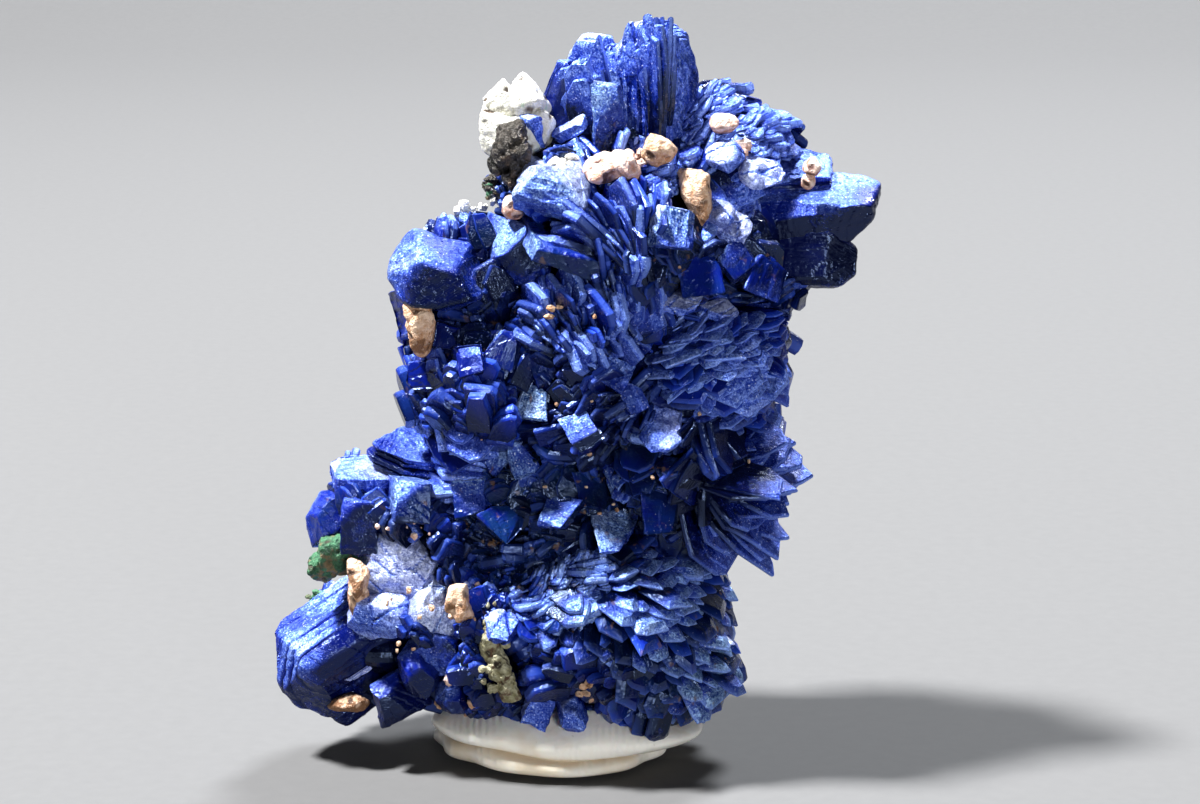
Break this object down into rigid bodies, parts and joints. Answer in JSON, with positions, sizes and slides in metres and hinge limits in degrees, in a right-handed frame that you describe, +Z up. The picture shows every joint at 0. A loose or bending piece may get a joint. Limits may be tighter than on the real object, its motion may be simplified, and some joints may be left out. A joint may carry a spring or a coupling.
{
  "type": "azurite crystal specimen",
  "caption": "Cluster of deep blue tabular azurite crystals with grains of matrix and malachite between them, standing in a folded lump of white putty.",
  "frame": {"origin": "on the table, under the middle of the specimen's box", "axes": "+Z up, the specimen's front faces -Y and its long foot points to -X"},
  "size_m": [0.0398, 0.021, 0.0496],
  "materials": {
    "azurite": "gloss",
    "white_matrix": "matte",
    "dark_grain": "satin",
    "pink_grain": "matte",
    "tan_grain": "matte",
    "malachite": "satin",
    "olive_matrix": "matte",
    "putty": "satin"
  },
  "bodies": {
    "root": {"azurite_cluster": "azurite", "white_matrix": "white_matrix", "dark_grain": "dark_grain", "pink_nugget": "pink_grain", "tan_ledge_grain": "tan_grain", "tall_tan_grain": "tan_grain", "pink_shoulder_grain": "pink_grain", "pink_edge_grain": "pink_grain", "small_pink_grain": "pink_grain", "leaning_tan_grain": "tan_grain", "salmon_grain": "tan_grain", "orange_grain": "tan_grain", "malachite_patch": "malachite", "olive_strip": "olive_matrix", "brown_foot_grain": "tan_grain", "putty_base": "putty"}
  },
  "joints": []
}
